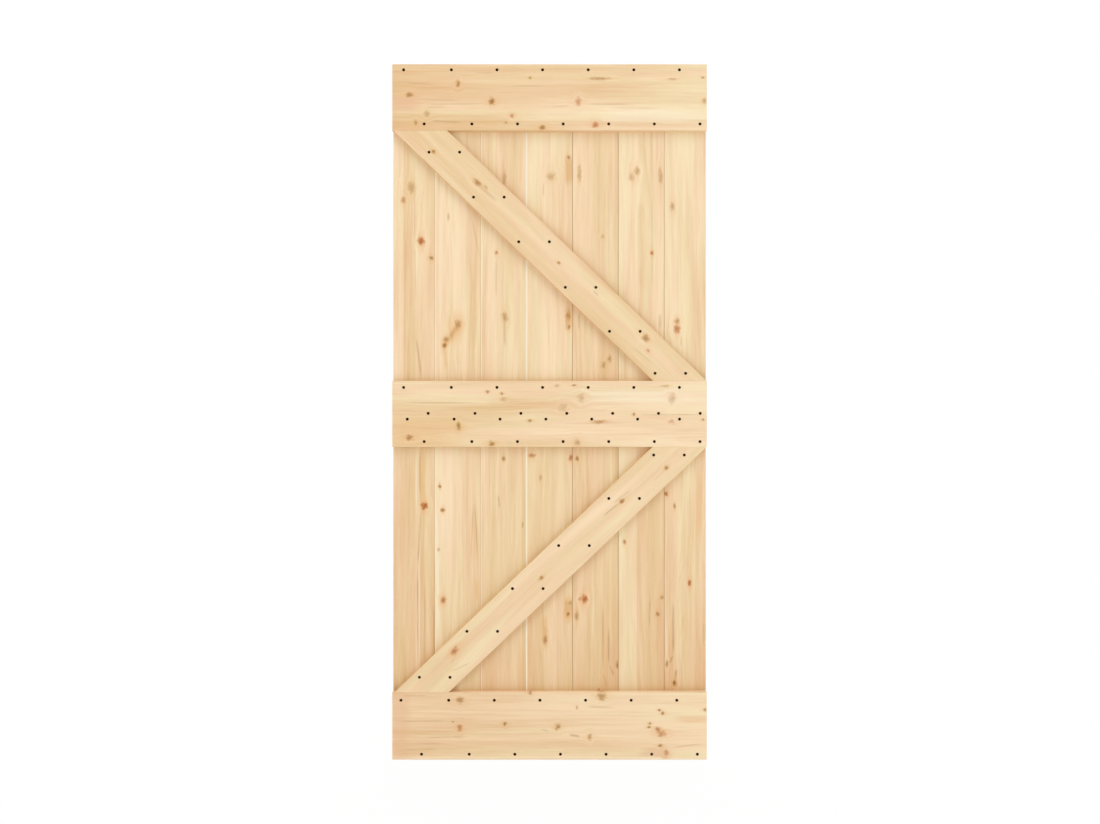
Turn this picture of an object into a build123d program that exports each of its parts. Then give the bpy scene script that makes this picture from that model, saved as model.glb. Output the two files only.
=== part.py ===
from build123d import *
from math import asin, atan2, ceil, copysign, degrees, hypot, sin
import os

# Ledged and braced sliding door leaf: upright tongued boards behind three ledges and two braces.
# The front faces -Y. The origin is on the front of the top ledge, on the leaf's centre line,
# at half the ledge's height.

# Leaf
leaf_width = 950
leaf_height = 2100

# Boards, grooved on their left edge and tongued on their right
board_pitch = 139.5
board_thickness = 18
board_gap = 0.2
board_chamfer = 0.8
board_end_gap = 1
tongue_length = 7
tongue_thickness = 6
tongue_side_clearance = 0.2
tongue_end_clearance = 0.8

# Ledges, and where the upper boards end and the lower ones begin behind the middle one
ledge_thickness = 18
top_ledge_height = 200
middle_ledge_height = 200
bottom_ledge_height = 203
middle_ledge_rise = 944
board_split_drop = 7

# Braces, and how far their tips stop short of the leaf's sides
brace_width = 112
upper_brace_top_inset = 4.5
upper_brace_foot_inset = 1
lower_brace_top_inset = 1.5
lower_brace_foot_inset = 8.5

# Softened front edges of ledges and braces
edge_chamfer = 1

# Countersunk screws, eight-sided to keep eighty of them light
screw_tip_cover = 6
screw_head_width = 9
screw_shank_width = 4.5
screw_head_taper = 45
screw_head_sink = 0.3
screw_tip_length = 4
screw_clearance = 0.1
screw_sides = 8

# Screw rows: insets from a ledge's upper and lower edges
top_ledge_high_row = 17
top_ledge_low_row = 19.5
middle_ledge_high_row = 20
middle_ledge_low_row = 16.5
bottom_ledge_high_row = 23.5
bottom_ledge_low_row = 16.5
split_row_offset = 8.7

# Screws along a row: place on the middle board, what each step loses to the board pitch,
# and how far the first or last screw strays
top_ledge_high_screw = -21
top_ledge_low_screw = 41
middle_ledge_high_screw = -21
middle_ledge_low_screw = 41
upper_split_screw = 52
lower_split_screw = -11
bottom_ledge_high_screw = -29
bottom_ledge_low_screw = 33
outer_row_creep = 1.75
split_row_creep = 1
outer_row_first_stray = -6.3
split_row_first_stray = -3
split_row_last_stray = -12
screw_edge_margin = 20

# Screw pairs across the joints of a brace: how far right of its joint and how far above
# the brace's middle line each pair stands, from the left, and how near to a ledge it may come
brace_pair_spread = 92.4
brace_pair_end_margin = 22
upper_brace_pairs = [(31, 4), (26, -2), (23, -5), (24, -7), (18, -11), (16, -5)]
lower_brace_pairs = [(2, 9), (6, 11), (4, 9), (4, 6), (16, 4), (12, 6)]

# Heights of the leaf and its rails in the model's own frame
leaf_top = top_ledge_height / 2
leaf_foot = leaf_top - leaf_height
top_ledge_foot = leaf_top - top_ledge_height
middle_ledge_foot = leaf_foot + middle_ledge_rise
middle_ledge_top = middle_ledge_foot + middle_ledge_height
bottom_ledge_top = leaf_foot + bottom_ledge_height
board_split = middle_ledge_foot + middle_ledge_height / 2 - board_split_drop

# Boards across the leaf, the outer two ripped to fill its width
board_count = ceil(leaf_width / board_pitch)
board_joints = [(index - board_count / 2) * board_pitch for index in range(1, board_count)]
board_edges = [-leaf_width / 2, *board_joints, leaf_width / 2]
board_middle = ledge_thickness + board_thickness / 2

screw_length = ledge_thickness + board_thickness - screw_tip_cover
side = leaf_width / 2


def middle_line(top_tip, foot_tip):
    # The long edges run through a brace's two tips, so they are steeper than the line between them
    across = foot_tip[0] - top_tip[0]
    down = top_tip[1] - foot_tip[1]
    slope = atan2(down, abs(across)) + asin(brace_width / hypot(across, down))
    half_cut = copysign(brace_width / sin(slope) / 2, across)
    return [(top_tip[0] + half_cut, top_tip[1]), (foot_tip[0] - half_cut, foot_tip[1])]


# Middle line of each brace, from its top to its foot, as (x, z)
upper_brace_line = middle_line(
    (upper_brace_top_inset - side, top_ledge_foot),
    (side - upper_brace_foot_inset, middle_ledge_top),
)
lower_brace_line = middle_line(
    (side - lower_brace_top_inset, middle_ledge_foot),
    (lower_brace_foot_inset - side, bottom_ledge_top),
)


def screw_row(middle_x, height, creep=outer_row_creep, first_stray=outer_row_first_stray, last_stray=0):
    # One screw to a board, kept off the leaf's two sides
    reach = side - screw_edge_margin
    strays = [first_stray] + [0] * (board_count - 2) + [last_stray]
    places = []
    for index, stray in enumerate(strays):
        steps = index - (board_count - 1) / 2
        x = middle_x + steps * (board_pitch - creep) + stray
        places.append((max(-reach, min(reach, x)), height))
    return places


def brace_screws(line, pairs):
    # Two screws on a level across every board joint, in the part of the brace clear of the ledges
    (top_x, top_z), (foot_x, foot_z) = line
    run = (foot_x - top_x) / (top_z - foot_z)
    places = []
    for index, joint in enumerate(board_joints):
        shift, rise = pairs[index % len(pairs)]
        level = top_z - (joint + shift - top_x) / run
        level = max(foot_z + brace_pair_end_margin - rise, min(top_z - brace_pair_end_margin - rise, level))
        x = top_x + (top_z - level) * run
        places.append((x - brace_pair_spread / 2, level + rise))
        places.append((x + brace_pair_spread / 2, level + rise))
    return places


top_ledge_places = [
    *screw_row(top_ledge_high_screw, leaf_top - top_ledge_high_row),
    *screw_row(top_ledge_low_screw, top_ledge_foot + top_ledge_low_row),
]
middle_ledge_places = [
    *screw_row(middle_ledge_high_screw, middle_ledge_top - middle_ledge_high_row),
    *screw_row(
        upper_split_screw,
        board_split + split_row_offset,
        split_row_creep,
        split_row_first_stray,
        split_row_last_stray,
    ),
    *screw_row(
        lower_split_screw,
        board_split - split_row_offset,
        split_row_creep,
        split_row_first_stray,
        split_row_last_stray,
    ),
    *screw_row(middle_ledge_low_screw, middle_ledge_foot + middle_ledge_low_row),
]
bottom_ledge_places = [
    *screw_row(bottom_ledge_high_screw, bottom_ledge_top - bottom_ledge_high_row),
    *screw_row(bottom_ledge_low_screw, leaf_foot + bottom_ledge_low_row),
]
upper_brace_places = brace_screws(upper_brace_line, upper_brace_pairs)
lower_brace_places = brace_screws(lower_brace_line, lower_brace_pairs)
all_places = [
    *top_ledge_places,
    *middle_ledge_places,
    *bottom_ledge_places,
    *upper_brace_places,
    *lower_brace_places,
]


def save(piece, name):
    piece.part.label = name
    export_step(piece.part, f"parts/{name}.step")


# One screw with its axis on Z, its tip down and the timber's face at Z zero
head_depth = (screw_head_width - screw_shank_width) / 2
shank_top = -screw_head_sink - head_depth
tip_top = screw_tip_length - screw_length - screw_head_sink
with BuildPart() as screw:
    with BuildSketch(Plane.XY.offset(-screw_head_sink)):
        RegularPolygon(screw_head_width / 2, screw_sides, major_radius=False)
    extrude(amount=-head_depth, taper=screw_head_taper)
    with BuildSketch(Plane.XY.offset(shank_top)):
        RegularPolygon(screw_shank_width / 2, screw_sides, major_radius=False)
    extrude(amount=tip_top - shank_top)
    tip_face = screw.faces().sort_by(Axis.Z)[0]
    loft(sections=[tip_face, Vertex(0, 0, tip_top - screw_tip_length)], ruled=True)

# The hole that the screw seats in: a countersink to the face and a shank hole past the tip
mouth_depth = head_depth + screw_head_sink - screw_clearance
with BuildPart() as screw_hole:
    with BuildSketch():
        RegularPolygon(screw_head_width / 2 + screw_head_sink, screw_sides, major_radius=False)
    extrude(amount=-mouth_depth, taper=screw_head_taper)
    with BuildSketch():
        RegularPolygon(screw_shank_width / 2 + screw_clearance, screw_sides, major_radius=False)
    extrude(amount=-screw_head_sink - screw_length - screw_clearance)


def bore(places):
    # Sinks a screw hole at each place of the part that is being built
    with Locations(*places):
        add(screw_hole.part, mode=Mode.SUBTRACT)


def places_near(left, right, foot, top):
    # Screws that may pass through a board, its tongue included
    reach = tongue_length + screw_shank_width
    return [
        (x, z)
        for x, z in all_places
        if left - reach < x < right + reach and foot - reach < z < top + reach
    ]


def make_board(index, foot, top):
    # The face runs from joint to joint, less half a gap at each side that meets another board
    first = index == 0
    last = index == board_count - 1
    left = board_edges[index] + (0 if first else board_gap / 2)
    right = board_edges[index + 1] - (0 if last else board_gap / 2)
    groove_depth = tongue_length - board_gap + tongue_end_clearance
    groove_width = tongue_thickness + 2 * tongue_side_clearance
    with BuildPart(Plane.XZ) as board:
        with BuildSketch(Plane.XY.offset(foot)) as section:
            with Locations(((left + right) / 2, board_middle)):
                Rectangle(right - left, board_thickness)
            chamfer(section.vertices().group_by(Axis.Y)[0], board_chamfer)
            if not last:
                with Locations((right, board_middle)):
                    Rectangle(tongue_length, tongue_thickness, align=(Align.MIN, Align.CENTER))
            if not first:
                with Locations((left, board_middle)):
                    Rectangle(
                        groove_depth,
                        groove_width,
                        align=(Align.MIN, Align.CENTER),
                        mode=Mode.SUBTRACT,
                    )
        extrude(amount=top - foot)
        bore(places_near(left, right, foot, top))
    return board


def make_ledge(foot, height, places):
    with BuildPart(Plane.XZ) as ledge:
        with BuildSketch(Plane.XZ):
            with Locations((0, foot + height / 2)):
                Rectangle(leaf_width, height)
        extrude(amount=-ledge_thickness)
        chamfer(ledge.faces().sort_by(Axis.Y)[0].edges(), edge_chamfer)
        bore(places)
    return ledge


def make_brace(line, places):
    # A plank along the middle line, its ends cut level where they butt the ledges
    (top_x, top_z), (foot_x, foot_z) = line
    middle = ((top_x + foot_x) / 2, (top_z + foot_z) / 2)
    plank_length = hypot(foot_x - top_x, foot_z - top_z) + 2 * brace_width
    slope = degrees(atan2(top_z - foot_z, top_x - foot_x))
    with BuildPart(Plane.XZ) as brace:
        with BuildSketch(Plane.XZ):
            with Locations(middle):
                Rectangle(plank_length, brace_width, rotation=slope)
            with Locations((0, middle[1])):
                Rectangle(leaf_width, top_z - foot_z, mode=Mode.INTERSECT)
        extrude(amount=-ledge_thickness)
        chamfer(brace.faces().sort_by(Axis.Y)[0].edges(), edge_chamfer)
        bore(places)
    return brace


def make_screws(places):
    with BuildPart(Plane.XZ) as screws:
        with Locations(*places):
            add(screw.part)
    return screws


os.makedirs("parts", exist_ok=True)

for number in range(1, board_count + 1):
    upper_foot = board_split + board_end_gap / 2
    lower_top = board_split - board_end_gap / 2
    save(make_board(number - 1, upper_foot, leaf_top), f"upper_board_{number}")
    save(make_board(number - 1, leaf_foot, lower_top), f"lower_board_{number}")

save(make_ledge(top_ledge_foot, top_ledge_height, top_ledge_places), "top_ledge")
save(make_ledge(middle_ledge_foot, middle_ledge_height, middle_ledge_places), "middle_ledge")
save(make_ledge(leaf_foot, bottom_ledge_height, bottom_ledge_places), "bottom_ledge")
save(make_brace(upper_brace_line, upper_brace_places), "upper_brace")
save(make_brace(lower_brace_line, lower_brace_places), "lower_brace")

save(make_screws(top_ledge_places), "top_ledge_screws")
save(make_screws(middle_ledge_places), "middle_ledge_screws")
save(make_screws(bottom_ledge_places), "bottom_ledge_screws")
save(make_screws(upper_brace_places), "upper_brace_screws")
save(make_screws(lower_brace_places), "lower_brace_screws")
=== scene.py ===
import bmesh
import bpy
import math
from mathutils import Matrix, Vector


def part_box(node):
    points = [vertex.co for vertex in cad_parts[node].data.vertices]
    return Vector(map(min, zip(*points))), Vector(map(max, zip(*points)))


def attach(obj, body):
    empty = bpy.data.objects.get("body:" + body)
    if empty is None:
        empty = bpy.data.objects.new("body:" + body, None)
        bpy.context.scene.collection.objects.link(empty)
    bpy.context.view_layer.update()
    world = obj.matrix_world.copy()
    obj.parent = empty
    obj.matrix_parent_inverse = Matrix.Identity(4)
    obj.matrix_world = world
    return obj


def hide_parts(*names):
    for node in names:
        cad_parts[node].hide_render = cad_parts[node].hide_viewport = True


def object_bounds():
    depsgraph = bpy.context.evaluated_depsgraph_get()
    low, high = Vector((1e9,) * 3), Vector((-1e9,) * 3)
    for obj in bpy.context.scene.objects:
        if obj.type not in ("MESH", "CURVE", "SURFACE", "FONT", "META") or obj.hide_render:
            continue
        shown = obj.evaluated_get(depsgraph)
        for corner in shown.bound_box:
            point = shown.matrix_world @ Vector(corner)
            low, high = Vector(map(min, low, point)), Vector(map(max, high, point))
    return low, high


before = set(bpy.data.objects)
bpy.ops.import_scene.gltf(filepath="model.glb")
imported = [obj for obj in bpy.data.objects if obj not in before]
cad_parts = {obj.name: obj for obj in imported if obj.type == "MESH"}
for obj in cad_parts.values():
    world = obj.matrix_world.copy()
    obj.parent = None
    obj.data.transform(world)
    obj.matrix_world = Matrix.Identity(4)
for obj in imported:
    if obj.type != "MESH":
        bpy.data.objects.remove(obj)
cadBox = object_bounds()
print("leaf loaded:", len(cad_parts), "nodes")

# Columns and rows below are pixels of the 1100 by 824 photograph
photo = {
    "width": 1100,
    "height": 824,
    "scale": 331.24,                           # pixels to a metre at the front of the ledges
    "eye": Vector((0.0014, -2.56, -0.9502)),   # camera, level, looking at the leaf
    "sensor": 36,                              # millimetres
}
pixel = 1 / photo["scale"]


def photoPoint(column, row, depth):
    # the point that a pixel shows, depth metres behind the front of the ledges
    scale = photo["scale"] * -photo["eye"].y / (depth - photo["eye"].y)
    x = photo["eye"].x + (column - photo["width"] / 2) / scale
    z = photo["eye"].z - (row - photo["height"] / 2) / scale
    return Vector((x, depth, z))


def paint(red, green, blue, alpha=1):
    # a screen colour out of 255 as the linear one that shaders take
    shares = [value / 255 for value in (red, green, blue)]
    return tuple(s / 12.92 if s < 0.04045 else ((s + 0.055) / 1.055) ** 2.4 for s in shares) + (alpha,)


class Wire:
    # one output of a finish's nodes; sums of wires and numbers add Math nodes
    def __init__(self, finish, socket):
        self.finish = finish
        self.socket = socket

    def maths(self, operation, first, second=0):
        return self.finish.add("Math", {"operation": operation}, {0: first, 1: second})

    def __add__(self, other):
        return self.maths("ADD", self, other)

    def __radd__(self, other):
        return self.maths("ADD", other, self)

    def __sub__(self, other):
        return self.maths("SUBTRACT", self, other)

    def __rsub__(self, other):
        return self.maths("SUBTRACT", other, self)

    def __mul__(self, other):
        return self.maths("MULTIPLY", self, other)

    def __rmul__(self, other):
        return self.maths("MULTIPLY", other, self)

    def __truediv__(self, other):
        return self.maths("DIVIDE", self, other)

    def __rtruediv__(self, other):
        return self.maths("DIVIDE", other, self)

    def __pow__(self, other):
        return self.maths("POWER", self, other)

    def __rpow__(self, other):
        return self.maths("POWER", other, self)

    def __gt__(self, other):
        return self.maths("GREATER_THAN", self, other)

    def __mod__(self, other):
        return self.maths("FLOORED_MODULO", self, other)

    def __abs__(self):
        return self.maths("ABSOLUTE", self)


class Finish:
    # the nodes that are added to a material or a world
    def __init__(self, owner):
        owner.use_nodes = True
        self.owner = owner
        self.tree = owner.node_tree
        self.tree.nodes.clear()

    def add(self, kind, settings, sockets, output=0):
        made = self.tree.nodes.new("ShaderNode" + kind)
        for name, value in settings.items():
            setattr(made, name, value)
        for name, value in sockets.items():
            if isinstance(value, Wire):
                self.tree.links.new(value.socket, made.inputs[name])
            else:
                made.inputs[name].default_value = value
        return Wire(self, made.outputs[output]) if made.outputs else None

    def outputOf(self, wire, output):
        return Wire(self, wire.socket.node.outputs[output])

    def parts(self, vector):
        first = self.add("SeparateXYZ", {}, {0: vector})
        return first, self.outputOf(first, 1), self.outputOf(first, 2)

    def vector(self, operation, *values):
        output = 1 if operation in ("DOT_PRODUCT", "LENGTH") else 0
        return self.add("VectorMath", {"operation": operation}, dict(enumerate(values)), output)

    def fade(self, value, start, end, low=0, high=1):
        # low before start, high past end, and a smooth turn between them
        return self.add(
            "MapRange",
            {"interpolation_type": "SMOOTHSTEP"},
            {0: value, 1: start, 2: end, 3: low, 4: high},
        )

    def blend(self, share, first, second, how="MIX"):
        settings = {"data_type": "RGBA", "blend_type": how, "clamp_factor": True}
        return self.add("Mix", settings, {0: share, 6: first, 7: second}, 2)

    def noise(self, place, cells, start, detail=2, roughness=0.5):
        # cells to a metre on each axis; start moves the pattern, so that each piece has its own
        moved = self.vector("MULTIPLY_ADD", place, cells, (start, start * 0.7, start * 1.3))
        sockets = {"Vector": moved, "Scale": 1, "Detail": detail, "Roughness": roughness}
        return self.add("TexNoise", {}, sockets)

    def noiseParts(self, *pattern):
        # three noises that have nothing to do with each other
        return self.parts(self.outputOf(self.noise(*pattern), 1))

    def close(self, colour, roughness, normal, specular):
        shader = self.add(
            "BsdfPrincipled",
            {},
            {"Base Color": colour, "Roughness": roughness, "Normal": normal, "Specular IOR Level": specular},
        )
        self.add("OutputMaterial", {}, {"Surface": shader})
        return self.owner


# Timber: clear-finished softwood, edge-glued from lamellae. Cells are to a metre, across the grain,
# into the piece and along the grain.
timber = {
    "pale": paint(250, 229, 192),
    "warm": paint(226, 185, 134),
    "blush": (1.0, 0.96, 0.965, 1),          # multiplies the wood where it turns pink
    "sallow": (0.985, 0.998, 0.965, 1),      # and where it turns yellow
    "latewood": (0.90, 0.80, 0.66, 1),       # multiplies the wood along the dark side of a ring
    "endGrain": (0.88, 0.82, 0.74, 1),
    "cornerShade": (0.78, 0.71, 0.62, 1),    # multiplies the boards where they meet a ledge or brace
    "cornerFade": 0.017,                     # metres over which that eases
    "cornerDepth": (0.004, 0.001),           # metres behind their face: gone at the first, full at the second
    "toneCells": (22, 14, 1.9),
    "streakCells": (95, 60, 3.0),
    "fibreCells": (1100, 800, 16),
    "toneContrast": 1.3,                     # how far each moves the wood from pale to warm
    "streakContrast": 1.3,
    "fibreContrast": 0.8,
    "swayCells": (7, 7, 1.1),
    "sway": 0.035,                           # how far the grain wanders across the piece
    "pithSpread": 0.22,                      # how far apart piths lie across the piece
    "pithNear": 0.012,                       # the nearest pith behind the face
    "pithRange": 0.09,
    "pithSway": 0.06,
    "ringWidth": 0.0028,
    "ringCells": 70,
    "ringUnevenness": 5,                     # rings
    "ringDarkness": 0.08,                    # in the palest lamella
    "ringDarknessRange": 0.36,
    "jointWidth": 0.0016,
    "streakWave": 0.012,
    "streakFray": 0.002,
    "roughness": 0.56,
    "streakRoughness": 0.16,
    "fibreRoughness": 0.12,
    "specular": 0.3,
    "bumpStrength": 0.22,
    "bumpDistance": 0.0006,
}

# Knots: colours of the heart, the rim and the stained wood round it
knotTones = {
    "brown": (paint(148, 90, 40), paint(198, 142, 82), paint(232, 186, 128)),
    "red": (paint(166, 92, 42), paint(206, 136, 80), paint(236, 184, 132)),
    "olive": (paint(156, 104, 50), paint(206, 158, 98), paint(232, 192, 134)),
}
knot = {
    "reach": 2.4,               # how far it moves the grain, in its own sizes
    "push": 0.8,
    "edgeCells": (130, 130, 80),
    "raggedness": 0.44,
    "stainShape": (1.1, 0, 0.5),    # the stain is drawn out along the grain
    "rings": 24,
}

# Colours of streaks, patches and joints; pale also paints highlights along joints and edges
streakTones = {
    "brown": paint(186, 140, 92),
    "orange": paint(232, 184, 126),
    "rose": paint(228, 180, 144),
    "olive": paint(206, 178, 128),
    "pale": paint(255, 243, 220),
    "dark": paint(160, 112, 62),
}

# What a piece has where its own dictionary names nothing else
plainTimber = {
    "trend": 0,              # change of warmth for each metre up the grain
    "ringStrength": 1.0,
    "blush": 0,              # above nought it makes the wood pinker
    "seams": (),
    "knots": (),
    "streaks": (),
    "patches": (),
    "joints": (),
    "rails": (),
}


def slantOf(node):
    # how far a piece's grain leans from upright; a brace's, from the middles of its head and foot
    if "board" in node:
        return 0
    if node.endswith("ledge"):
        return math.pi / 2
    low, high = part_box(node)
    vertices = [vertex.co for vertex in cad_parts[node].data.vertices]
    edgeSlack = 0.0015
    head = sorted(point.x for point in vertices if point.z > high.z - edgeSlack)
    foot = sorted(point.x for point in vertices if point.z < low.z + edgeSlack)
    return math.atan2((head[0] + head[-1] - foot[0] - foot[-1]) / 2, high.z - low.z)


class Timber(Finish):
    # a piece's finish; across, depth and along are metres by its grain, from the middle of its face
    def __init__(self, node, details):
        super().__init__(bpy.data.materials.new(node))
        self.details = {**plainTimber, **details}
        self.start = self.details["start"]
        self.slant = slantOf(node)
        low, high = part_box(node)
        self.middle = Vector(((low.x + high.x) / 2, low.y, (low.z + high.z) / 2))
        self.spot = self.add("TexCoord", {}, {}, "Object")
        self.place = self.add(
            "Mapping",
            {"vector_type": "TEXTURE"},
            {"Vector": self.spot, "Location": self.middle, "Rotation": (0, self.slant, 0)},
        )
        self.across, self.depth, self.along = self.parts(self.place)

    def grainPlace(self, column, row):
        offset = photoPoint(column, row, self.middle.y) - self.middle
        down = math.cos(self.slant)
        level = math.sin(self.slant)
        return Vector((offset.x * down - offset.z * level, 0, offset.x * level + offset.z * down))

    def within(self, place, centre, wide, high):
        # place measured from a mark's centre, in parts of its size
        scale = (1 / wide, 0, 1 / high)
        return self.vector("MULTIPLY_ADD", place, scale, (-centre.x / wide, 0, -centre.z / high))

    def cover(self, share, colour):
        self.wood = self.blend(share, self.wood, colour)

    def stain(self, share, colour):
        self.wood = self.blend(share, self.wood, colour, "MULTIPLY")

    def layGrain(self):
        # the grain sways, and parts round knots
        swayAcross, self.swayDepth, self.swayTone = self.noiseParts(
            self.place, timber["swayCells"], self.start + 5, 1
        )
        wander = (swayAcross - 0.5) * timber["sway"]
        rough = self.outputOf(self.noise(self.place, knot["edgeCells"], self.start, 3), 1)
        ragged = knot["raggedness"]
        self.knots = []
        for column, row, wide, high, tone, strength in self.details["knots"]:
            centre = self.grainPlace(column, row)
            near = self.within(
                self.place, centre, wide * pixel * knot["reach"], high * pixel * knot["reach"]
            )
            near = self.vector("MULTIPLY_ADD", rough, (ragged, 0, ragged), near)
            near = self.vector("SUBTRACT", near, (ragged / 2, 0, ragged / 2))
            far = self.vector("LENGTH", near)
            stainFar = self.vector("LENGTH", self.vector("MULTIPLY", near, knot["stainShape"]))
            self.knots.append((far, stainFar, tone, strength))
            wander = wander + (centre.x - self.across) * self.fade(far, 0.9, 0.1, 0, knot["push"])
        self.grainAcross = self.across + wander
        self.grain = self.add(
            "CombineXYZ", {}, {0: self.grainAcross, 1: self.depth, 2: self.along}
        )

    def layRings(self):
        # each lamella has its own warmth, and growth rings about its own pith
        lamella = 0
        self.warmth = self.details["warmth"] + self.along * self.details["trend"]
        left = -10                  # metres, beyond any piece
        leftWarmth = 0
        for seam, extraWarmth in self.details["seams"]:
            reached = self.across > left
            lamella = lamella + reached
            self.warmth = self.warmth + reached * (extraWarmth - leftWarmth)
            left = self.grainPlace(*seam).x
            leftWarmth = extraWarmth
        flat = {"noise_dimensions": "1D"}
        chance = self.add("TexWhiteNoise", flat, {"W": lamella + self.start * 3.7}, 1)
        pithSide, pithDepth, self.lamellaStrength = self.parts(chance)
        sideways = self.grainAcross - (pithSide - 0.5) * timber["pithSpread"]
        inwards = self.depth + pithDepth * timber["pithRange"] + timber["pithNear"]
        inwards = inwards + (self.swayDepth - 0.5) * timber["pithSway"]
        radius = (sideways * sideways + inwards * inwards) ** 0.5
        wave = radius * timber["ringCells"] + self.start
        uneven = self.add("TexNoise", flat, {"W": wave, "Scale": 1, "Detail": 2})
        ring = radius / timber["ringWidth"] + uneven * timber["ringUnevenness"]
        share = ring % 1
        ringChance = self.add("TexWhiteNoise", flat, {"W": ring - share})
        self.latewood = self.fade(share, 0.3, 0.85) * self.fade(share, 1.0, 0.9)
        self.latewood = self.latewood * (0.35 + ringChance * 0.65)

    def layColour(self):
        # slow changes of tone, streaks and fibres along the grain
        toneWarm, toneBlush, tonePatch = self.noiseParts(
            self.grain, timber["toneCells"], self.start + 11, 3, 0.55
        )
        self.streak = self.noise(self.grain, timber["streakCells"], self.start + 17, 3, 0.6)
        self.fibre = self.noise(self.grain, timber["fibreCells"], self.start + 23, 3, 0.7)
        calm = self.fade(tonePatch, 0.4, 0.62, 0.2, 1) * self.details["ringStrength"]
        warm = (
            self.warmth
            + (toneWarm - 0.5) * timber["toneContrast"]
            + (self.streak - 0.5) * calm * timber["streakContrast"]
            + (self.fibre - 0.5) * timber["fibreContrast"]
        )
        self.wood = self.blend(warm, timber["pale"], timber["warm"])
        pink = self.fade(toneBlush + self.details["blush"], 0.42, 0.58)
        self.stain(1.0, self.blend(pink, timber["sallow"], timber["blush"]))
        darkness = timber["ringDarkness"] + self.lamellaStrength * timber["ringDarknessRange"]
        self.stain(self.latewood * darkness * calm, timber["latewood"])

    def coverPatches(self):
        for column, row, columnEnd, rowEnd, tone, strength in self.details["patches"]:
            corner = self.grainPlace(column, row)
            half = (self.grainPlace(columnEnd, rowEnd) - corner) / 2
            near = self.within(self.grain, corner + half, abs(half.x), abs(half.z))
            near = self.parts(self.vector("ABSOLUTE", near))
            sides = near[0] + (self.fibre - 0.5) * 0.8
            ends = near[2] + (self.streak - 0.5) * 1.6
            mask = self.fade(sides, 1.2, 0.7) * self.fade(ends, 1.3, 0.4)
            self.cover(mask * strength, streakTones[tone])

    def coverStreaks(self):
        wave = (self.swayTone - 0.5) * timber["streakWave"] + (self.streak - 0.5) * timber["streakFray"]
        broken = self.fade(self.streak, 0.2, 0.6, 0.3, 1) * self.fade(self.fibre, 0.35, 0.6, 0.55, 1.1)
        for column, row, columnEnd, rowEnd, halfWide, tone, strength in self.details["streaks"]:
            begin = self.grainPlace(column, row)
            run = self.grainPlace(columnEnd, rowEnd) - begin
            unit = run.normalized()
            side = Vector((unit.z, 0, -unit.x))
            offSide = abs(self.vector("DOT_PRODUCT", self.place, side) - begin.dot(side) + wave)
            onward = self.vector("DOT_PRODUCT", self.place, unit) - begin.dot(unit)
            onward = abs(onward / run.length - 0.5)
            mask = self.fade(offSide / (halfWide * pixel * 1.4), 1, 0) * self.fade(onward, 0.5, 0.2)
            self.cover(mask * broken * strength, streakTones[tone])

    def coverKnots(self):
        for far, stainFar, tone, strength in self.knots:
            heart, rim, halo = knotTones[tone]
            self.cover(self.fade(stainFar, 0.55, 0.05) * strength * 0.7, halo)
            self.cover(self.fade(far, 0.38, 0.12) * strength, rim)
            rings = (stainFar * knot["rings"] + self.streak * 2) % 1
            self.cover(self.fade(far, 0.22, 0.02) * (0.75 + rings * 0.4) * strength, heart)
            bark = self.fade(abs(far - 0.19), 0.035, 0) * self.fade(self.fibre, 0.4, 0.6, 0.2, 0.9)
            self.cover(bark * strength * 0.6, heart)

    def coverJointLinesAndHighlights(self):
        # dark joint lines, and pale painted highlights where light would catch the chamfers of some joints
        wide = timber["jointWidth"]
        for column, tone, strength in self.details["joints"]:
            near = abs(self.across - self.grainPlace(column, 0).x)
            self.cover(self.fade(near, wide, wide / 2) * strength, streakTones[tone])

    def shadeCorners(self):
        # boards are darker beside ledges and braces
        shade = 0
        for normal, centre, half, before, after in self.details["rails"]:
            offset = self.vector("DOT_PRODUCT", self.spot, normal) - centre
            clear = self.add("Math", {"operation": "MAXIMUM"}, {0: abs(offset) - half, 1: 0})
            strength = (offset > 0) * (after - before) + before
            shade = shade + math.e ** (clear / -timber["cornerFade"]) * strength
        if self.details["rails"]:
            self.stain(shade * self.fade(self.depth, *timber["cornerDepth"]), timber["cornerShade"])

    def darkenEnds(self):
        # sawn ends drink in more of the finish
        facing = self.add("TexCoord", {}, {}, "Normal")
        lengthwise = (math.sin(self.slant), 0, math.cos(self.slant))
        endOn = abs(self.vector("DOT_PRODUCT", facing, lengthwise))
        self.stain(self.fade(endOn, 0.75, 0.95), timber["endGrain"])

    def seal(self):
        height = self.fibre * 0.5 + self.streak * 0.3 - self.latewood * 0.35
        bump = self.add(
            "Bump",
            {},
            {"Strength": timber["bumpStrength"], "Distance": timber["bumpDistance"], "Height": height},
        )
        roughness = timber["roughness"] + (self.streak - 0.5) * timber["streakRoughness"]
        roughness = roughness + (self.fibre - 0.5) * timber["fibreRoughness"]
        return self.close(self.wood, roughness, bump, timber["specular"])


def timberFinish(node, details):
    piece = Timber(node, details)
    piece.layGrain()
    piece.layRings()
    piece.layColour()
    piece.coverPatches()
    piece.coverStreaks()
    piece.coverKnots()
    piece.coverJointLinesAndHighlights()
    piece.shadeCorners()
    piece.darkenEnds()
    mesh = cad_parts[node].data
    mesh.materials.clear()
    mesh.materials.append(piece.seal())


def railBand(node, before, after):
    # the strip of the leaf that a ledge or brace covers: its normal, middle and half width, and the
    # strength of the shade above or left of it and of that below or right of it
    slant = slantOf(node)
    normal = Vector((math.cos(slant), 0, -math.sin(slant)))
    reach = [vertex.co.dot(normal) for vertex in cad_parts[node].data.vertices]
    return normal, (max(reach) + min(reach)) / 2, (max(reach) - min(reach)) / 2, before, after


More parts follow.
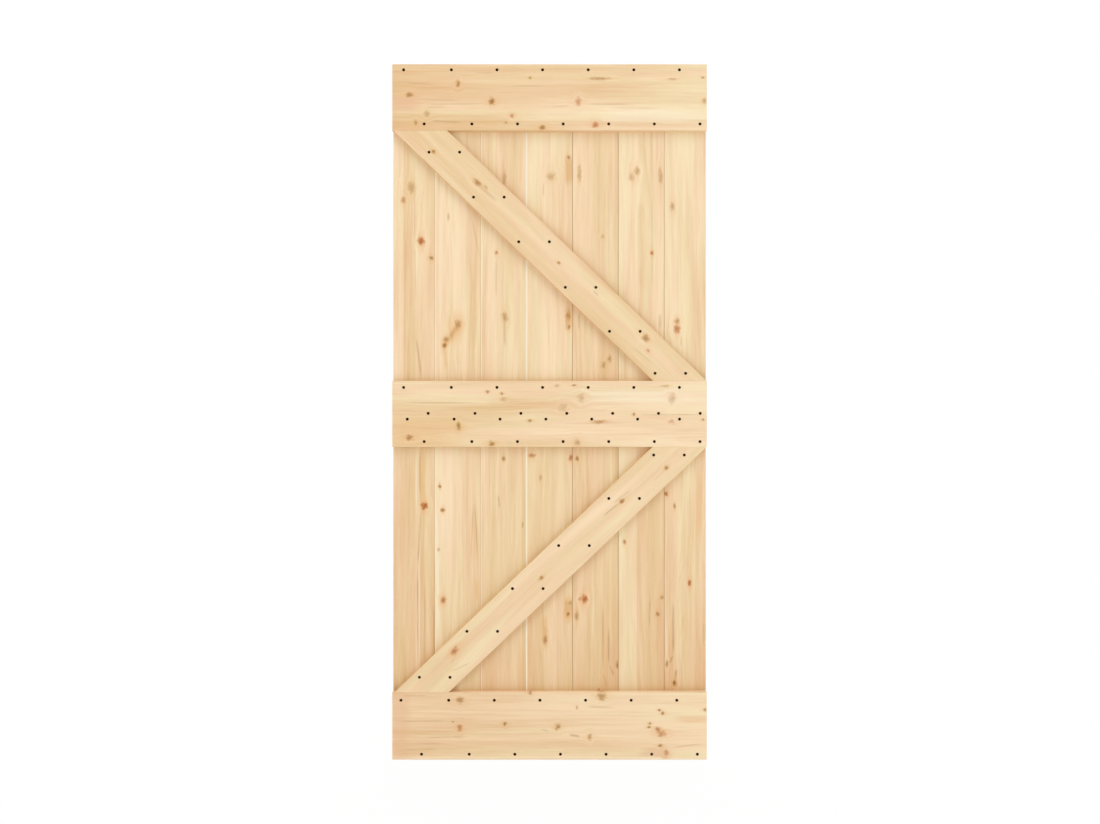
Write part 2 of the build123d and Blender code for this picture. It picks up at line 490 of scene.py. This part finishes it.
def boardFinishes(run, details):
    # a board takes the knots, streaks and patches whose middle it holds, and the joints at its edges
    rails = [railBand(*rail) for rail in details["rails"]]
    left = -math.inf
    for number, seams in enumerate(details["seams"], 1):
        right = math.inf if number == len(details["seams"]) else seams[-1][0]
        board = {
            "start": details["start"] + number * 7.3,
            "warmth": details["warmth"][number - 1],
            "trend": details["trend"],
            "seams": [((column, 0), extraWarmth) for column, extraWarmth in seams],
            "knots": [mark for mark in details["knots"] if left <= mark[0] < right],
            "rails": rails,
        }
        for kind in ("streaks", "patches"):
            board[kind] = [mark for mark in details[kind] if left <= (mark[0] + mark[2]) / 2 < right]
        board["joints"] = [joint for joint in details["joints"] if left - 1 < joint[0] < right + 1]
        timberFinish(f"{run}_{number}", board)
        left = right


# Marks lie by column and row. Knots: column, row, width, height, tone, strength. Streaks: both ends,
# half width, tone, strength. Patches: two corners, tone, strength. Joints: column, tone, strength; dark
# ones are joint lines and pale ones painted highlights along the joints' chamfers.
# Seams: right-hand column of a lamella and its extra warmth. Rails: the ledge or brace, and the strength
# of the shade above or left of it and of that below or right of it.
jointLinesAndHighlights = [
    # dark entries are joint lines, pale ones painted highlights along the joints' chamfers
    (434.6, "dark", 0.1),
    (435.6, "pale", 0.6),
    (480.4, "dark", 0.1),
    (481.4, "pale", 0.5),
    (526.3, "pale", 1.0),
    (526.9, "pale", 1.0),
    (572.5, "dark", 0.45),
    (618.3, "dark", 0.45),
    (664.2, "dark", 0.4),
]

upperBoards = {
    "start": 3.1,
    "rails": [("top_ledge", 0.2, 0.2), ("upper_brace", 0.4, 0.7), ("middle_ledge", 0.9, 0.9)],
    "joints": jointLinesAndHighlights,
    "warmth": [0.31, 0.24, 0.36, 0.21, 0.31, 0.27, 0.22],
    "trend": 0,
    "seams": [
        [(403.5, -0.1), (415.4, 0.22), (434.9, 0.05)],
        [(449, 0), (466, -0.1), (480.8, 0.05)],
        [(496.5, 0.02), (503.7, 0.12), (515, 0), (526.6, 0.05)],
        [(541, 0), (552, -0.05), (566, 0.05), (572.5, 0.2)],
        [(585, 0), (598, -0.05), (606, 0.15), (615, 0.05), (618.3, 0.2)],
        [(637.8, -0.15), (651.8, 0.1), (664.2, 0.07)],
        [(681, 0), (692, 0), (710, 0.05)],
    ],
    "knots": [
        (411, 187.5, 8, 10, "olive", 0.36),
        (403.5, 200.3, 4, 5, "red", 0.5),
        (421.3, 241.1, 5.5, 6.5, "red", 0.9),
        (431.4, 258.2, 3.5, 3, "olive", 0.75),
        (448.2, 216.5, 3, 6, "olive", 0.25),
        (458.2, 324, 5.5, 7, "brown", 0.45),
        (446, 339.6, 4, 4.5, "brown", 0.75),
        (444.3, 345.5, 4, 5, "brown", 0.85),
        (496.5, 252.8, 3, 3, "red", 0.6),
        (504.7, 179, 2.5, 12, "brown", 0.35),
        (505, 317.5, 4.5, 9, "olive", 0.5),
        (551, 176.5, 7, 7, "olive", 0.34),
        (568.6, 157.6, 3, 3.5, "brown", 0.6),
        (568.4, 316, 4, 10, "brown", 0.5),
        (569, 327, 2.5, 3.5, "brown", 0.6),
        (579.4, 173.6, 3.5, 16, "olive", 0.38),
        (602.7, 236.5, 3, 3.5, "olive", 0.35),
        (609.4, 359, 4.5, 6, "olive", 0.5),
        (603.9, 364.9, 4.5, 6, "olive", 0.5),
        (631.5, 177, 5, 7, "brown", 0.28),
        (637, 171, 5, 7, "olive", 0.4),
        (660.5, 176.7, 3.5, 16, "olive", 0.36),
        (651.8, 253, 3, 4, "red", 0.75),
        (672.4, 206.5, 4, 7, "olive", 0.4),
        (677, 328.8, 5, 6.5, "red", 0.7),
        (677, 321.5, 4.5, 5, "olive", 0.45),
    ],
    "streaks": [
        (415.4, 335, 421, 381, 1.4, "brown", 0.5),
        (471, 211, 480.5, 262, 1.0, "brown", 0.3),
        (496.5, 254, 496.5, 300, 0.8, "brown", 0.35),
        (503.7, 150, 503.7, 250, 0.8, "brown", 0.25),
        (505, 312, 505, 350, 1.8, "brown", 0.4),
        (444, 345, 446, 372, 2.6, "orange", 0.6),
        (461, 320, 443, 348, 4.8, "orange", 0.95),
        (458, 323, 445, 344, 2.4, "brown", 0.5),
        (543.5, 180, 543.5, 198, 1.2, "brown", 0.3),
        (567, 318, 567, 332, 3.2, "brown", 0.35),
        (568, 158, 568.6, 186, 4.2, "orange", 0.8),
        (579, 312, 579, 332, 1.4, "brown", 0.4),
        (607.9, 180, 607.9, 270, 0.8, "olive", 0.4),
        (613.5, 180, 613.5, 260, 0.8, "olive", 0.35),
        (651.8, 190, 651.8, 300, 0.8, "brown", 0.3),
        (659.5, 312, 659.5, 330, 2.2, "olive", 0.6),
        (681.7, 335, 681.7, 347, 0.9, "brown", 0.5),
        (415.4, 140, 415.4, 330, 0.7, "brown", 0.25),
    ],
    "patches": [
        (565.5, 157, 572.2, 184, "brown", 0.4),
        (566, 306, 572.2, 330, "orange", 0.6),
        (446, 312, 462, 345, "orange", 0.35),
    ],
}
boardFinishes("upper_board", upperBoards)
print("upper boards finished")

lowerBoards = {
    "start": 61.7,
    "rails": [("middle_ledge", 0.45, 0.45), ("lower_brace", 0.7, 0.15), ("bottom_ledge", 0.9, 0.9)],
    "joints": jointLinesAndHighlights,
    "warmth": [0.56, 0.42, 0.48, 0.44, 0.56, 0.50, 0.50],
    "trend": -0.45,
    "seams": [
        [(400, 0), (415.5, 0.05), (420, -0.2), (426, 0.25), (434.9, 0.08)],
        [(452, -0.2), (466, -0.1), (480.8, 0.05)],
        [(499, 0.03), (511, 0.08), (522, 0), (526.6, 0.15)],
        [(543.5, 0.1), (557, -0.06), (564, 0), (572.5, 0.1)],
        [(585, 0), (603, -0.04), (612, 0.12), (618.3, 0.2)],
        [(637, -0.3), (650, 0.08), (657, 0.12), (664.2, 0.16)],
        [(673.5, 0), (681, -0.1), (695, 0), (710, 0.12)],
    ],
    "knots": [
        (424.2, 505.6, 6, 6, "red", 1.0),
        (439.7, 486, 2.5, 3, "olive", 0.8),
        (443, 510, 4, 3, "brown", 0.7),
        (438.6, 549.5, 2.5, 4, "olive", 0.4),
        (443.3, 600, 4, 5, "red", 0.75),
        (503.5, 458.4, 3, 4, "olive", 0.8),
        (522.8, 524.7, 1.5, 6, "brown", 0.4),
        (531.6, 455.5, 6, 4, "red", 0.55),
        (540.4, 478, 2.5, 7, "red", 0.35),
        (571.2, 457.6, 4.5, 5, "red", 0.7),
        (545, 640, 3.5, 8, "brown", 0.55),
        (568, 614, 3, 4.5, "brown", 0.8),
        (570, 603, 3, 4, "olive", 0.4),
        (577.4, 458.4, 3, 4, "brown", 0.7),
        (576.6, 616, 3, 8, "olive", 0.5),
        (584.6, 599, 5, 7, "red", 0.85),
        (580, 599, 3, 3, "red", 0.4),
        (598.5, 690, 3, 3, "red", 0.5),
        (617.3, 665, 2.2, 7, "olive", 0.75),
        (624.6, 542, 3, 3.5, "olive", 0.7),
        (657.4, 614, 3, 3.5, "brown", 0.7),
        (662, 597.5, 3.5, 3.5, "brown", 0.45),
        (666, 493.7, 4, 4, "red", 0.75),
        (674.5, 506, 2.5, 4, "olive", 0.7),
        (689.5, 583, 3, 5, "red", 0.95),
        (666.8, 664, 3, 6, "olive", 0.6),
        (674.3, 683, 3.5, 5, "brown", 0.95),
    ],
    "streaks": [
        (420.2, 447, 420.4, 500, 1.0, "brown", 0.7),
        (421, 510, 417.4, 569, 1.0, "brown", 0.7),
        (417.4, 560, 417.6, 672, 1.1, "brown", 0.85),
        (424.6, 575, 424.6, 672, 0.9, "brown", 0.6),
        (434, 600, 434.4, 660, 1.2, "brown", 0.6),
        (497.5, 494, 499, 509, 0.8, "brown", 0.7),
        (470.6, 560, 474, 500, 0.9, "brown", 0.45),
        (478, 560, 475, 500, 0.9, "brown", 0.45),
        (544.5, 612, 545, 648, 3.2, "orange", 1.0),
        (545.4, 624, 545, 646, 1.8, "brown", 0.4),
        (649.7, 598, 649.7, 628, 0.8, "brown", 0.6),
        (673.4, 596, 673.2, 660, 1.3, "brown", 0.95),
        (673, 655, 669, 664, 1.2, "brown", 0.7),
        (684, 612, 680.7, 640, 1.6, "orange", 0.8),
        (676.3, 668, 674.2, 684, 1.4, "brown", 0.85),
        (704.3, 620, 704.3, 648, 1.6, "olive", 0.8),
        (609, 625, 609.4, 668, 1.0, "brown", 0.75),
        (609.4, 664, 614.5, 676, 1.1, "brown", 0.75),
        (603.7, 600, 603.7, 672, 0.9, "brown", 0.5),
        (603.7, 672, 608, 688, 0.9, "brown", 0.55),
        (685, 560, 679, 585, 0.9, "olive", 0.35),
        (416.8, 450, 416.8, 520, 0.9, "pale", 0.5),
    ],
    "patches": [
        (420, 447, 426, 502, "orange", 0.55),
        (564, 596, 572.2, 622, "orange", 0.8),
        (564.5, 600, 570, 612, "brown", 0.2),
        (470.5, 515, 478, 560, "orange", 0.35),
        (474, 580, 479, 600, "orange", 0.45),
        (517, 640, 524, 690, "orange", 0.3),
        (612, 640, 617.5, 680, "rose", 0.45),
        (696, 470, 702, 540, "orange", 0.45),
        (606, 560, 612, 690, "orange", 0.25),
        (393, 450, 399, 690, "rose", 0.3),
        # the next two are painted highlights beside joints, where light would catch the chamfers
        (435.4, 480, 438.5, 640, "pale", 0.4),
        (664.8, 560, 666.5, 660, "pale", 0.25),
    ],
}
boardFinishes("lower_board", lowerBoards)
print("lower boards finished")


def levelFinish(node, details):
    # a ledge's grain runs level: its seams are the bottom rows of its lamellae, and the height of its
    # knots lies across the grain
    seams = [((0, row), extraWarmth) for row, extraWarmth in details["seams"]]
    knots = [(column, row, high, wide, *look) for column, row, wide, high, *look in details["knots"]]
    timberFinish(node, {**details, "seams": seams, "knots": knots})


topLedge = {
    "start": 21.3,
    "warmth": 0.42,
    "blush": 0,
    "trend": -0.6,
    "ringStrength": 0.8,
    "seams": [(82, 0), (104, 0.05), (121, -0.05), (131, 0.05)],
    "knots": [
        (458, 83.5, 3.5, 6.5, "brown", 0.6),
        (409.7, 95, 6.5, 4, "brown", 0.55),
        (491.8, 101.3, 4.5, 6, "brown", 0.78),
        (426.7, 113.7, 5, 6, "brown", 0.3),
        (415.7, 122.5, 3, 4, "olive", 0.6),
        (512, 115.8, 3, 4, "red", 0.6),
        (505.8, 122.5, 2, 2, "brown", 0.5),
        (542.4, 127.5, 5, 3.5, "brown", 0.75),
        (530, 77.8, 2.2, 2.2, "olive", 0.6),
        (599.6, 78.6, 18, 2.5, "brown", 0.4),
        (671.9, 79.1, 10, 2.5, "red", 0.3),
        (702.9, 77.6, 2.2, 2.2, "brown", 0.6),
        (578.4, 101.3, 5, 7, "red", 0.4),
        (595.5, 124.9, 5, 5, "red", 0.6),
        (704.4, 100.8, 3, 5, "brown", 0.4),
    ],
    "streaks": [
        (427, 120.2, 464, 122.5, 1.0, "brown", 0.55),
        (420, 103.9, 491, 103.2, 0.9, "brown", 0.3),
        (418, 99.3, 462, 99.8, 0.9, "brown", 0.25),
        (422, 107, 448, 106, 0.9, "brown", 0.25),
        (401, 82, 440, 85, 0.9, "brown", 0.3),
        (501, 86.5, 550, 86, 0.9, "brown", 0.3),
        (581, 103.9, 637, 104.4, 1.0, "brown", 0.35),
        (607, 107, 660, 108.6, 0.9, "brown", 0.2),
        (550, 106.5, 571, 105.5, 0.9, "brown", 0.25),
        (474, 73.4, 496, 73.4, 0.9, "brown", 0.3),
    ],
    "patches": [
        (388, 96, 420, 112, "rose", 0.4),
        (600, 110, 700, 122, "pale", 0.3),
    ],
}
levelFinish("top_ledge", topLedge)

middleLedge = {
    "start": 37.9,
    "warmth": 0.34,
    "blush": 0.04,
    "trend": -0.4,
    "ringStrength": 0.8,
    "seams": [(402.6, -0.07), (428, 0.05), (448, 0)],
    "knots": [
        (487.7, 391.6, 2.5, 2.5, "brown", 0.6),
        (501.6, 393.5, 2.5, 2.5, "brown", 0.6),
        (503.7, 399, 6, 4, "brown", 0.25),
        (458.8, 425.9, 4, 7, "olive", 0.75),
        (530, 420.4, 3, 3, "olive", 0.7),
        (409.2, 437.8, 6.5, 4.5, "brown", 0.62),
        (491.8, 444, 5, 4.5, "olive", 0.85),
        (574.3, 385.4, 4, 2.2, "brown", 0.55),
        (557, 386, 4, 3, "brown", 0.25),
        (581, 397.5, 6, 8, "brown", 0.26),
        (664.7, 386, 7, 2.2, "brown", 0.3),
        (671.9, 398.5, 6, 9, "brown", 0.26),
        (563.4, 406.8, 8, 7, "olive", 0.2),
        (633.9, 414.5, 2.2, 3, "brown", 0.6),
        (599.6, 421.8, 11, 3, "brown", 0.45),
        (671.9, 421.8, 6, 4, "red", 0.25),
        (702.9, 419.7, 2.2, 2.2, "brown", 0.55),
        (577.4, 442.4, 5, 6, "olive", 0.4),
    ],
    "streaks": [
        (394, 402.6, 487, 402.8, 0.9, "brown", 0.4),
        (635, 414.5, 700, 414.5, 0.9, "brown", 0.3),
        (414, 428.5, 455, 428.5, 0.9, "brown", 0.25),
        (556, 424, 640, 422, 0.9, "brown", 0.2),
    ],
    "patches": [
        (388, 416, 462, 447, "orange", 0.4),
        (560, 390, 700, 403, "pale", 0.3),
    ],
}
levelFinish("middle_ledge", middleLedge)

bottomLedge = {
    "start": 49.3,
    "warmth": 0.23,
    "blush": 0.07,
    "trend": -0.4,
    "ringStrength": 1.0,
    "seams": [(722, 0), (740, -0.04), (761, 0.04)],
    "knots": [
        (459.8, 700.6, 6, 6, "brown", 0.5),
        (459.6, 727.8, 4, 6.5, "red", 0.55),
        (505, 723.9, 3, 3.5, "olive", 0.75),
        (452.9, 721.8, 2, 1.6, "brown", 0.5),
        (530.4, 693.4, 3, 2.5, "brown", 0.5),
        (557.7, 727, 4, 5, "olive", 0.65),
        (589.8, 736.3, 3.5, 6, "brown", 0.4),
        (601.7, 696, 8, 7, "olive", 0.6),
        (576.9, 707.4, 1.5, 4, "brown", 0.35),
        (659.5, 709.9, 2.2, 2.2, "brown", 0.75),
        (663, 713.3, 2.5, 3, "brown", 0.75),
        (650, 723.4, 2.2, 2.2, "olive", 0.7),
        (649, 727, 3, 2.2, "olive", 0.7),
        (658, 729.9, 4, 4, "brown", 0.65),
        (661.6, 733.7, 7, 6, "red", 0.45),
        (660.3, 745.6, 3.5, 3, "olive", 0.7),
        (666.2, 752.8, 4, 5.5, "red", 0.45),
        (705, 710, 2.5, 3, "brown", 0.6),
    ],
    "streaks": [
        (568, 735, 581, 736.6, 1.4, "brown", 0.7),
        (540, 729.6, 549, 731, 0.9, "brown", 0.5),
        (585, 706, 617, 707.4, 1.1, "brown", 0.35),
        (669, 748, 705, 743.5, 0.9, "brown", 0.35),
        (394, 722, 450, 721.5, 0.9, "brown", 0.35),
        (400, 744.5, 450, 743.5, 0.9, "brown", 0.3),
        (402, 750, 440, 749, 0.9, "brown", 0.35),
        (400, 696, 430, 695.6, 0.9, "brown", 0.4),
        (420, 738, 470, 737, 0.9, "brown", 0.25),
    ],
    "patches": [
        (674, 716, 712, 724, "orange", 0.4),
        (640, 748, 672, 757, "rose", 0.45),
        (388, 690, 410, 762, "rose", 0.35),
        # the next two are a painted highlight along the ledge's lower edge
        (530, 757.6, 712, 759.2, "pale", 0.45),
        (388, 757.8, 530, 759.2, "pale", 0.3),
    ],
}
levelFinish("bottom_ledge", bottomLedge)
print("ledges finished")

# A brace's knots give their width across the grain and their height along it
upperBrace = {
    "start": 83.1,
    "warmth": 0.50,
    "ringStrength": 0.25,
    "knots": [
        (433.5, 151.7, 3, 3, "brown", 0.8),
        (477.5, 183, 4.5, 8, "brown", 0.55),
        (485.6, 187, 3, 4, "olive", 0.3),
        (558.5, 262.8, 3, 3, "olive", 0.75),
        (645.6, 338, 6, 7, "brown", 0.55),
        (648, 350.5, 3, 3, "red", 0.4),
    ],
    "streaks": [
        (477, 183, 499, 202, 2.0, "brown", 0.4),
        (593, 290, 599, 296, 1.2, "brown", 0.4),
        (632, 346, 653, 364, 0.9, "brown", 0.35),
    ],
}
timberFinish("upper_brace", upperBrace)

lowerBrace = {
    "start": 97.7,
    "warmth": 0.30,
    "ringStrength": 0.25,
    "knots": [
        (666.2, 467.9, 3, 3.2, "olive", 0.8),
        (622.3, 501, 3, 5, "brown", 0.7),
        (541.6, 577.6, 3, 3.5, "olive", 0.75),
        (454.6, 651, 5, 6.5, "red", 0.65),
    ],
    "streaks": [
        (602, 517, 620, 502, 1.1, "brown", 0.5),
        (612, 504, 634, 488, 1.2, "olive", 0.6),
        (638, 484, 654, 471, 0.8, "olive", 0.4),
        (653, 481, 665, 470, 0.8, "olive", 0.4),
        (449, 672, 472, 661, 0.9, "brown", 0.35),
        (450, 664, 456, 655, 1.0, "rose", 0.5),
    ],
}
timberFinish("lower_brace", lowerBrace)
print("braces finished")

# Screws: countersunk, cross-recessed, blackened
screw = {
    "headRadius": 0.0045,
    "rimHeight": 0.0002,
    "shankRadius": 0.0017,
    "threadRadius": 0.0022,
    "threadPitch": 0.0018,
    "threadTurns": 13,
    "threadSides": 8,            # steps to a turn
    "threadHalfHeight": 0.28,    # of the pitch
    "neck": 0.0022,
    "length": 0.030,
    "tip": 0.004,
    "recessReach": 0.0024,
    "recessHalfWidth": 0.00048,
    "recessDepth": 0.0011,
    "recessTaper": 0.7,
    "sides": 24,
    "turnStep": 2.4,             # radians from one screw's recess to the next
    "black": paint(42, 16, 2),
    "brown": paint(62, 30, 6),
    "worn": paint(78, 42, 14),
}


def screwFinish():
    finish = Finish(bpy.data.materials.new("screw_black"))
    spot = finish.add("TexCoord", {}, {}, "Object")
    speckle = finish.noise(spot, (900, 900, 900), 4.2, 3)
    cloud = finish.noise(spot, (140, 140, 140), 9.6)
    black = finish.blend(speckle, screw["black"], screw["brown"])
    worn = finish.blend(finish.fade(cloud, 0.5, 0.75), black, screw["worn"])
    bump = finish.add("Bump", {}, {"Strength": 0.3, "Distance": 0.0002, "Height": speckle})
    return finish.close(worn, 0.5 + cloud * 0.25, bump, 0.04)


def makeHead(shape):
    # the head's face on Z, with its cross recess
    bmesh.ops.create_circle(shape, cap_ends=True, radius=screw["headRadius"], segments=screw["sides"])
    half = screw["recessHalfWidth"]
    reach = screw["recessReach"]
    for axis in (Vector((1, 0, 0)), Vector((0, 1, 0))):
        for cut in (-reach, -half, half, reach):
            everything = shape.verts[:] + shape.edges[:] + shape.faces[:]
            bmesh.ops.bisect_plane(shape, geom=everything, dist=1e-7, plane_co=axis * cut, plane_no=axis)
    crossed = []
    for face in shape.faces:
        middle = face.calc_center_median()
        offSide, onward = sorted((abs(middle.x), abs(middle.y)))
        if offSide < half and onward < reach:
            crossed.append(face)
    sunk = bmesh.ops.extrude_face_region(shape, geom=crossed)["geom"]
    floor = [part for part in sunk if isinstance(part, bmesh.types.BMVert)]
    bmesh.ops.delete(shape, geom=crossed, context="FACES")
    bmesh.ops.translate(shape, verts=floor, vec=(0, 0, -screw["recessDepth"]))
    bmesh.ops.scale(shape, verts=floor, vec=(screw["recessTaper"], screw["recessTaper"], 1))


def turnShank(shape):
    # the head's cone, the shank and the tip
    neck = -screw["neck"]
    outline = [
        (screw["headRadius"], 0),
        (screw["headRadius"], -screw["rimHeight"]),
        (screw["threadRadius"], neck),
        (screw["shankRadius"], neck - screw["rimHeight"]),
        (screw["shankRadius"], screw["tip"] - screw["length"]),
        (0, -screw["length"]),
    ]
    points = [shape.verts.new((across, 0, height)) for across, height in outline]
    edges = [shape.edges.new(pair) for pair in zip(points, points[1:])]
    bmesh.ops.spin(
        shape,
        geom=points + edges,
        cent=(0, 0, 0),
        axis=(0, 0, 1),
        angle=2 * math.pi,
        steps=screw["sides"],
        use_merge=True,
    )


def windThread(shape):
    root = screw["shankRadius"] * 0.95      # a little inside the shank, so that no gap shows
    top = -screw["neck"] - screw["threadPitch"]
    half = screw["threadHalfHeight"] * screw["threadPitch"]
    profile = [(root, top + half), (screw["threadRadius"], top), (root, top - half)]
    ridge = shape.faces.new([shape.verts.new((across, 0, height)) for across, height in profile])
    bmesh.ops.spin(
        shape,
        geom=[ridge],
        cent=(0, 0, 0),
        axis=(0, 0, 1),
        dvec=(0, 0, -screw["threadPitch"] / screw["threadSides"]),
        angle=2 * math.pi * screw["threadTurns"],
        steps=screw["threadTurns"] * screw["threadSides"],
    )


def makeScrew():
    # one screw on Z with its head's face at zero and its tip down
    shape = bmesh.new()
    makeHead(shape)
    turnShank(shape)
    windThread(shape)
    bmesh.ops.remove_doubles(shape, verts=shape.verts, dist=1e-6)
    bmesh.ops.recalc_face_normals(shape, faces=shape.faces)
    single = bpy.data.meshes.new("one_screw")
    shape.to_mesh(single)
    shape.free()
    return single


def headPlaces(node):
    # middle of each solid's head, from the corners that lie in the heads' plane
    low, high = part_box(node)
    planeSlack = 1e-5
    apart = 2.2 * screw["headRadius"]
    heads = []
    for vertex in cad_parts[node].data.vertices:
        if vertex.co.y < low.y + planeSlack:
            near = [head for head in heads if (head[0] - vertex.co).length < apart]
            if near:
                near[0].append(vertex.co)
            else:
                heads.append([vertex.co])
    places = []
    for corners in heads:
        across = [corner.x for corner in corners]
        upward = [corner.z for corner in corners]
        middle = ((min(across) + max(across)) / 2, low.y, (min(upward) + max(upward)) / 2)
        places.append(Vector(middle))
    return places


def layScrews(node, single, finish):
    joined = bmesh.new()
    facing = Matrix.Rotation(math.pi / 2, 4, "X")
    for index, place in enumerate(headPlaces(node)):
        known = len(joined.verts)
        joined.from_mesh(single)
        joined.verts.ensure_lookup_table()
        turn = Matrix.Rotation(index * screw["turnStep"], 4, "Z")
        laid = Matrix.Translation(place) @ facing @ turn
        bmesh.ops.transform(joined, matrix=laid, verts=joined.verts[known:])
    mesh = bpy.data.meshes.new(node + "_threaded")
    joined.to_mesh(mesh)
    joined.free()
    mesh.materials.append(finish)
    piece = bpy.data.objects.new(node + "_threaded", mesh)
    bpy.context.scene.collection.objects.link(piece)
    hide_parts(node)
    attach(piece, "root")


single = makeScrew()
blackened = screwFinish()
for node in ("top_ledge", "middle_ledge", "bottom_ledge", "upper_brace", "lower_brace"):
    layScrews(node + "_screws", single, blackened)
bpy.data.meshes.remove(single)
print("screws laid")

# Floor, lamps and camera
studio = {
    "floorSize": 30,
    "floorDrop": 0.0005,          # below the leaf's foot
    "floorColour": paint(243, 242, 240),
    "floorWhite": 0.8,            # share of plain white that the camera sees in it near the leaf
    "floorFade": (0.5, 2.5),      # metres from the leaf over which the floor turns all white
    "domeStrength": 0.46,
    "lampStrength": 0.92,         # of each of the six soft lamps round the leaf
    "lampSpread": 42,             # degrees
    "lampLift": 30,               # degrees out of the leaf's plane
    "lampDistance": 4,
    "white": (1, 1, 1, 1),
}


def cameraWhite(finish):
    # one for what the camera, gloss and glass look at, and nought for light on the leaf
    path = finish.add("LightPath", {}, {}, "Is Camera Ray")
    seen = path + finish.outputOf(path, "Is Glossy Ray") + finish.outputOf(path, "Is Transmission Ray")
    return seen > 0.5


def makeFloor():
    shape = bmesh.new()
    bmesh.ops.create_grid(shape, x_segments=1, y_segments=1, size=studio["floorSize"] / 2)
    bmesh.ops.translate(shape, verts=shape.verts, vec=(0, 0, cadBox[0].z - studio["floorDrop"]))
    mesh = bpy.data.meshes.new("studio_floor")
    shape.to_mesh(mesh)
    shape.free()
    floor = bpy.data.objects.new("studio_floor", mesh)
    bpy.context.scene.collection.objects.link(floor)
    finish = Finish(bpy.data.materials.new("studio_floor"))
    matt = finish.add("BsdfDiffuse", {}, {"Color": studio["floorColour"]})
    white = finish.add("Emission", {}, {"Color": studio["white"], "Strength": 1})
    away = finish.vector("LENGTH", finish.add("TexCoord", {}, {}, "Object"))
    share = cameraWhite(finish) * finish.fade(away, *studio["floorFade"], studio["floorWhite"], 1)
    mixed = finish.add("MixShader", {}, {0: share, 1: matt, 2: white})
    finish.add("OutputMaterial", {}, {"Surface": mixed})
    mesh.materials.append(finish.owner)


def makeDome():
    world = bpy.data.worlds.new("studio_dome")
    bpy.context.scene.world = world
    dome = Finish(world)
    soft = dome.add("Background", {}, {"Color": studio["white"], "Strength": studio["domeStrength"]})
    plain = dome.add("Background", {}, {"Color": studio["white"], "Strength": 1})
    mixed = dome.add("MixShader", {}, {0: cameraWhite(dome), 1: soft, 2: plain})
    dome.add("OutputWorld", {}, {"Surface": mixed})


def makeLamp(name, towards):
    lamp = bpy.data.lights.new(name, "SUN")
    lamp.energy = studio["lampStrength"]
    lamp.angle = math.radians(studio["lampSpread"])
    holder = bpy.data.objects.new(name, lamp)
    holder.location = towards * studio["lampDistance"]
    holder.rotation_euler = towards.to_track_quat("Z", "Y").to_euler()
    bpy.context.scene.collection.objects.link(holder)


def makeLamps():
    # to the left, right and above, in front of the leaf and behind it
    lift = math.radians(studio["lampLift"])
    for side, facing in (("front", -1), ("back", 1)):
        for name, x, z in (("left", -1, 0), ("right", 1, 0), ("top", 0, 1)):
            away = Vector((x * math.cos(lift), facing * math.sin(lift), z * math.cos(lift)))
            makeLamp(f"{side}_{name}_lamp", away)


def makeCamera():
    camera = bpy.data.cameras.new("front_view")
    camera.sensor_width = photo["sensor"]
    camera.lens = photo["sensor"] * photo["scale"] * -photo["eye"].y / photo["width"]
    holder = bpy.data.objects.new("front_view", camera)
    holder.location = photo["eye"]
    holder.rotation_euler = (math.pi / 2, 0, 0)
    bpy.context.scene.collection.objects.link(holder)
    bpy.context.scene.camera = holder


makeFloor()
makeDome()
makeLamps()
makeCamera()
bpy.context.scene.view_settings.view_transform = "Standard"
print("studio ready")
